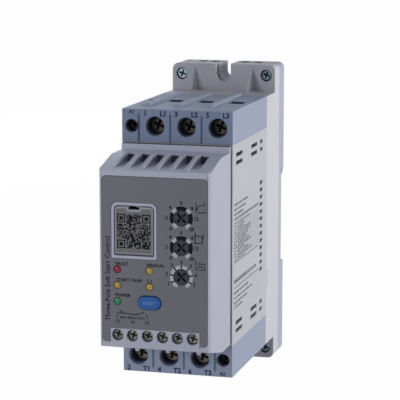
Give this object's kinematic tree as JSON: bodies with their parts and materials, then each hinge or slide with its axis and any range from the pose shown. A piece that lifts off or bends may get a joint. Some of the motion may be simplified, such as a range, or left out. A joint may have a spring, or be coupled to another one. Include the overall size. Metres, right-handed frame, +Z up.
{
  "type": "soft starter",
  "caption": "Narrow motor soft starter with screw terminals above and below, dials, lamps and a reset button on its stepped front, and a rail clip behind.",
  "frame": {"origin": "centre line of the mounting rail on the rear mounting plane, at the middle of the width", "axes": "+Z up, +X to the right seen from the front, +Y to the rear; the front looks along -Y"},
  "size_m": [0.045, 0.1207, 0.127],
  "materials": {
    "block_plastic": "fine matt moulding",
    "housing_plastic": "fine matt moulding",
    "base_plastic": "fine matt moulding",
    "plate_plastic": "fine matt moulding",
    "cover_plastic": "fine matt moulding",
    "panel_film": "printed matt film",
    "dial_plastic": "smooth moulding",
    "button_plastic": "satin moulding",
    "lamp_red": "clear tinted",
    "lamp_amber": "clear tinted",
    "lamp_green": "clear tinted",
    "chip_white": "moulded",
    "clip_plastic": "fine matt moulding",
    "insert_plastic": "moulded",
    "trimmer_plastic": "moulded",
    "screw_steel": "zinc plated",
    "clamp_steel": "zinc plated",
    "spring_steel": "bright drawn",
    "bar_metal": "bare strip",
    "sink_metal": "extruded",
    "board_laminate": "lacquered laminate",
    "epoxy": "moulded"
  },
  "bodies": {
    "body": {"mounting_base": "base_plastic", "rear_plate": "plate_plastic", "clip_spring": "spring_steel", "ear_screws": "screw_steel", "heat_sink": "sink_metal", "housing": "housing_plastic", "upper_terminal_block": "block_plastic", "lower_terminal_block": "block_plastic", "line_screws": "screw_steel", "load_screws": "screw_steel", "coil_screws": "screw_steel", "line_clamps": "clamp_steel", "load_clamps": "clamp_steel", "coil_clamps": "clamp_steel", "line_bars": "bar_metal", "load_bars": "bar_metal", "coil_strips": "bar_metal", "thyristor_modules": "epoxy", "bypass_relays": "epoxy", "driver_board": "board_laminate", "board_link": "insert_plastic", "control_board": "board_laminate", "front_cover": "cover_plastic", "front_panel": "panel_film", "service_socket": "insert_plastic", "trimmers": "trimmer_plastic", "reset_switch": "insert_plastic", "red_lamp": "lamp_red", "amber_lamps": "lamp_amber", "green_lamp": "lamp_green", "lamp_chips": "chip_white", "control_terminals": "insert_plastic", "control_screws": "screw_steel", "control_clamps": "clamp_steel"},
    "clip": {"rail_clip": "clip_plastic"},
    "lid": {"service_lid": "cover_plastic"},
    "dial_1": {"ramp_up_dial": "dial_plastic"},
    "dial_2": {"ramp_down_dial": "dial_plastic"},
    "dial_3": {"current_dial": "dial_plastic"},
    "button": {"reset_button": "button_plastic"}
  },
  "joints": [
    {"name": "rail_clip_slide", "type": "slide", "parent": "body", "child": "clip", "axis": [0, 0, -1], "range_m": [0, 0.004], "stiffness_N_per_m": 500, "springref_m": -0.004, "deforming": ["clip_spring"]},
    {"name": "lid_hinge", "type": "hinge", "parent": "body", "child": "lid", "pos_m": [-0.0081, -0.1186, 0.0021], "axis": [1, 0, 0], "range_deg": [0, 95]},
    {"name": "ramp_up_turn", "type": "hinge", "parent": "body", "child": "dial_1", "pos_m": [0.0106, -0.1198, 0.016], "axis": [0, 1, 0], "range_deg": [-135, 135]},
    {"name": "ramp_down_turn", "type": "hinge", "parent": "body", "child": "dial_2", "pos_m": [0.0106, -0.1198, 0.0047], "axis": [0, 1, 0], "range_deg": [-135, 135]},
    {"name": "current_turn", "type": "hinge", "parent": "body", "child": "dial_3", "pos_m": [0.0106, -0.1198, -0.0066], "axis": [0, 1, 0], "range_deg": [-135, 135]},
    {"name": "reset_press", "type": "slide", "parent": "body", "child": "button", "axis": [0, 1, 0], "range_m": [0, 0.0008], "stiffness_N_per_m": 800, "springref_m": -0.001}
  ]
}
